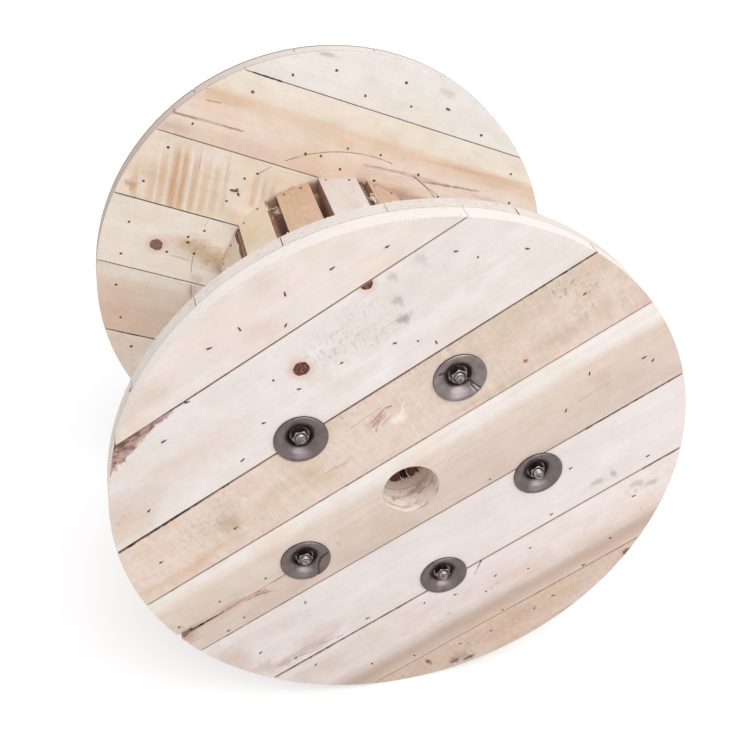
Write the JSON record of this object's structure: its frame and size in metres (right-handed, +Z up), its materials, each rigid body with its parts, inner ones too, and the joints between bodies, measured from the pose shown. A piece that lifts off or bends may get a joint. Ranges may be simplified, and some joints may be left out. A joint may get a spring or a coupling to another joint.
{
  "type": "wooden cable drum",
  "caption": "Wooden cable drum lying on its rims: two round flanges of crossed planks, a barrel of staves between them, long bolts in dished steel washers and an arbor hole through the axis.",
  "frame": {"origin": "middle of the ground line between the two rims that the drum lies on, at the bottom of its box", "axes": "+Z up; the drum's axis lies along Y, with the front flange, whose bolts carry the nuts, facing -Y; +X to the right seen from the front"},
  "size_m": [0.8, 0.6388, 0.8],
  "materials": {
    "plank": "rough sawn pale softwood",
    "inner_plank": "rough sawn pale softwood",
    "stave": "rough sawn softwood, from cream to orange-brown",
    "former": "rough sawn softwood",
    "washer": "dark pressed steel, dull",
    "bolt": "bare zinc-grey steel"
  },
  "bodies": {
    "root": {"front_outer_plank_1": "plank", "front_outer_plank_2": "plank", "front_outer_plank_3": "plank", "front_outer_plank_4": "plank", "front_outer_plank_5": "plank", "front_outer_plank_6": "plank", "front_outer_plank_7": "plank", "front_inner_plank_1": "inner_plank", "front_inner_plank_2": "inner_plank", "front_inner_plank_3": "inner_plank", "front_inner_plank_4": "inner_plank", "front_inner_plank_5": "inner_plank", "front_inner_plank_6": "inner_plank", "front_inner_plank_7": "inner_plank", "rear_inner_plank_1": "plank", "rear_inner_plank_2": "plank", "rear_inner_plank_3": "plank", "rear_inner_plank_4": "plank", "rear_inner_plank_5": "plank", "rear_inner_plank_6": "plank", "rear_inner_plank_7": "plank", "rear_outer_plank_1": "plank", "rear_outer_plank_2": "plank", "rear_outer_plank_3": "plank", "rear_outer_plank_4": "plank", "rear_outer_plank_5": "plank", "rear_outer_plank_6": "plank", "rear_outer_plank_7": "plank", "stave_01": "stave", "stave_02": "stave", "stave_03": "stave", "stave_04": "stave", "stave_05": "stave", "stave_06": "stave", "stave_07": "stave", "stave_08": "stave", "stave_09": "stave", "stave_10": "stave", "stave_11": "stave", "stave_12": "stave", "stave_13": "stave", "stave_14": "stave", "stave_15": "stave", "front_former": "former", "rear_former": "former", "bolt_1": "bolt", "bolt_2": "bolt", "bolt_3": "bolt", "bolt_4": "bolt", "bolt_5": "bolt", "front_washer_1": "washer", "front_washer_2": "washer", "front_washer_3": "washer", "front_washer_4": "washer", "front_washer_5": "washer", "rear_washer_1": "washer", "rear_washer_2": "washer", "rear_washer_3": "washer", "rear_washer_4": "washer", "rear_washer_5": "washer"}
  },
  "joints": []
}
